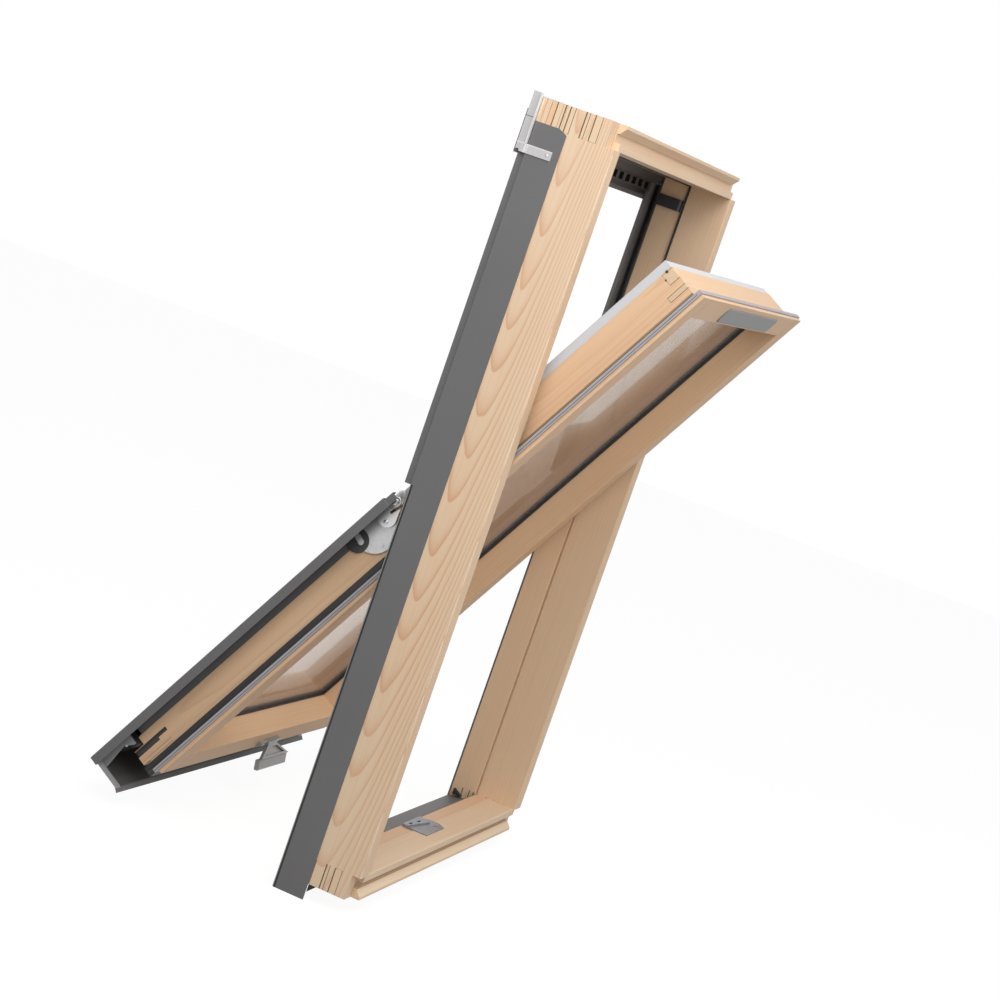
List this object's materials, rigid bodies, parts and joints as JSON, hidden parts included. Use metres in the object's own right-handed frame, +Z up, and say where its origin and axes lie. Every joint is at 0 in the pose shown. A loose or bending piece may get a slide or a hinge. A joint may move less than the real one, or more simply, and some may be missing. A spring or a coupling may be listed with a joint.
{
  "type": "roof window",
  "caption": "Pine centre-pivot roof window, its glazed sash held half open, with grey cladding, hinges, vent grille and a pull handle.",
  "frame": {"origin": "middle of the sill's flat underside, half way through the depth of the frame", "axes": "+X to the right as seen from the room, +Y outward through the roof, +Z up the slope along the jambs"},
  "size_m": [0.7984, 0.6478, 1.2078],
  "materials": {
    "pine": "clear satin lacquer",
    "dark_cladding": "matt grey coating",
    "pale_cladding": "satin",
    "bracket_metal": "satin pale grey",
    "zinc": "bright zinc",
    "handle_metal": "satin",
    "plate_grey": "matt",
    "seal": "matt",
    "grey_seal": "matt",
    "black_plastic": "moulded",
    "foam": "open foam",
    "glass": "clear",
    "spacer": "matt black"
  },
  "bodies": {
    "root": {"blank_plate": "plate_grey", "bottom_rail": "pine", "corner_caps": "black_plastic", "corner_foams": "foam", "foot_cover": "dark_cladding", "frame_gasket": "seal", "glazing_gasket": "seal", "handle_base": "handle_metal", "handle_lever": "handle_metal", "head": "pine", "head_cladding": "pale_cladding", "hood": "dark_cladding", "inner_pane": "glass", "left_head_bracket": "bracket_metal", "left_hinge_arm": "zinc", "left_hinge_bracket": "zinc", "left_hinge_plate": "zinc", "left_jamb": "pine", "left_jamb_cladding": "dark_cladding", "left_lower_cover": "dark_cladding", "left_stile": "pine", "left_upper_cover": "dark_cladding", "outer_pane": "glass", "right_head_bracket": "bracket_metal", "right_hinge_arm": "zinc", "right_hinge_bracket": "zinc", "right_hinge_plate": "zinc", "right_jamb": "pine", "right_jamb_cladding": "dark_cladding", "right_lower_cover": "dark_cladding", "right_stile": "pine", "right_upper_cover": "dark_cladding", "sash_gasket": "grey_seal", "sash_lower_cladding": "dark_cladding", "sash_upper_cladding": "pale_cladding", "sill": "pine", "sill_cladding": "dark_cladding", "spacer_bar": "spacer", "stop_tabs": "black_plastic", "striker_plate": "zinc", "top_rail": "pine", "vent_bar": "dark_cladding", "vent_grille": "black_plastic"}
  },
  "joints": []
}
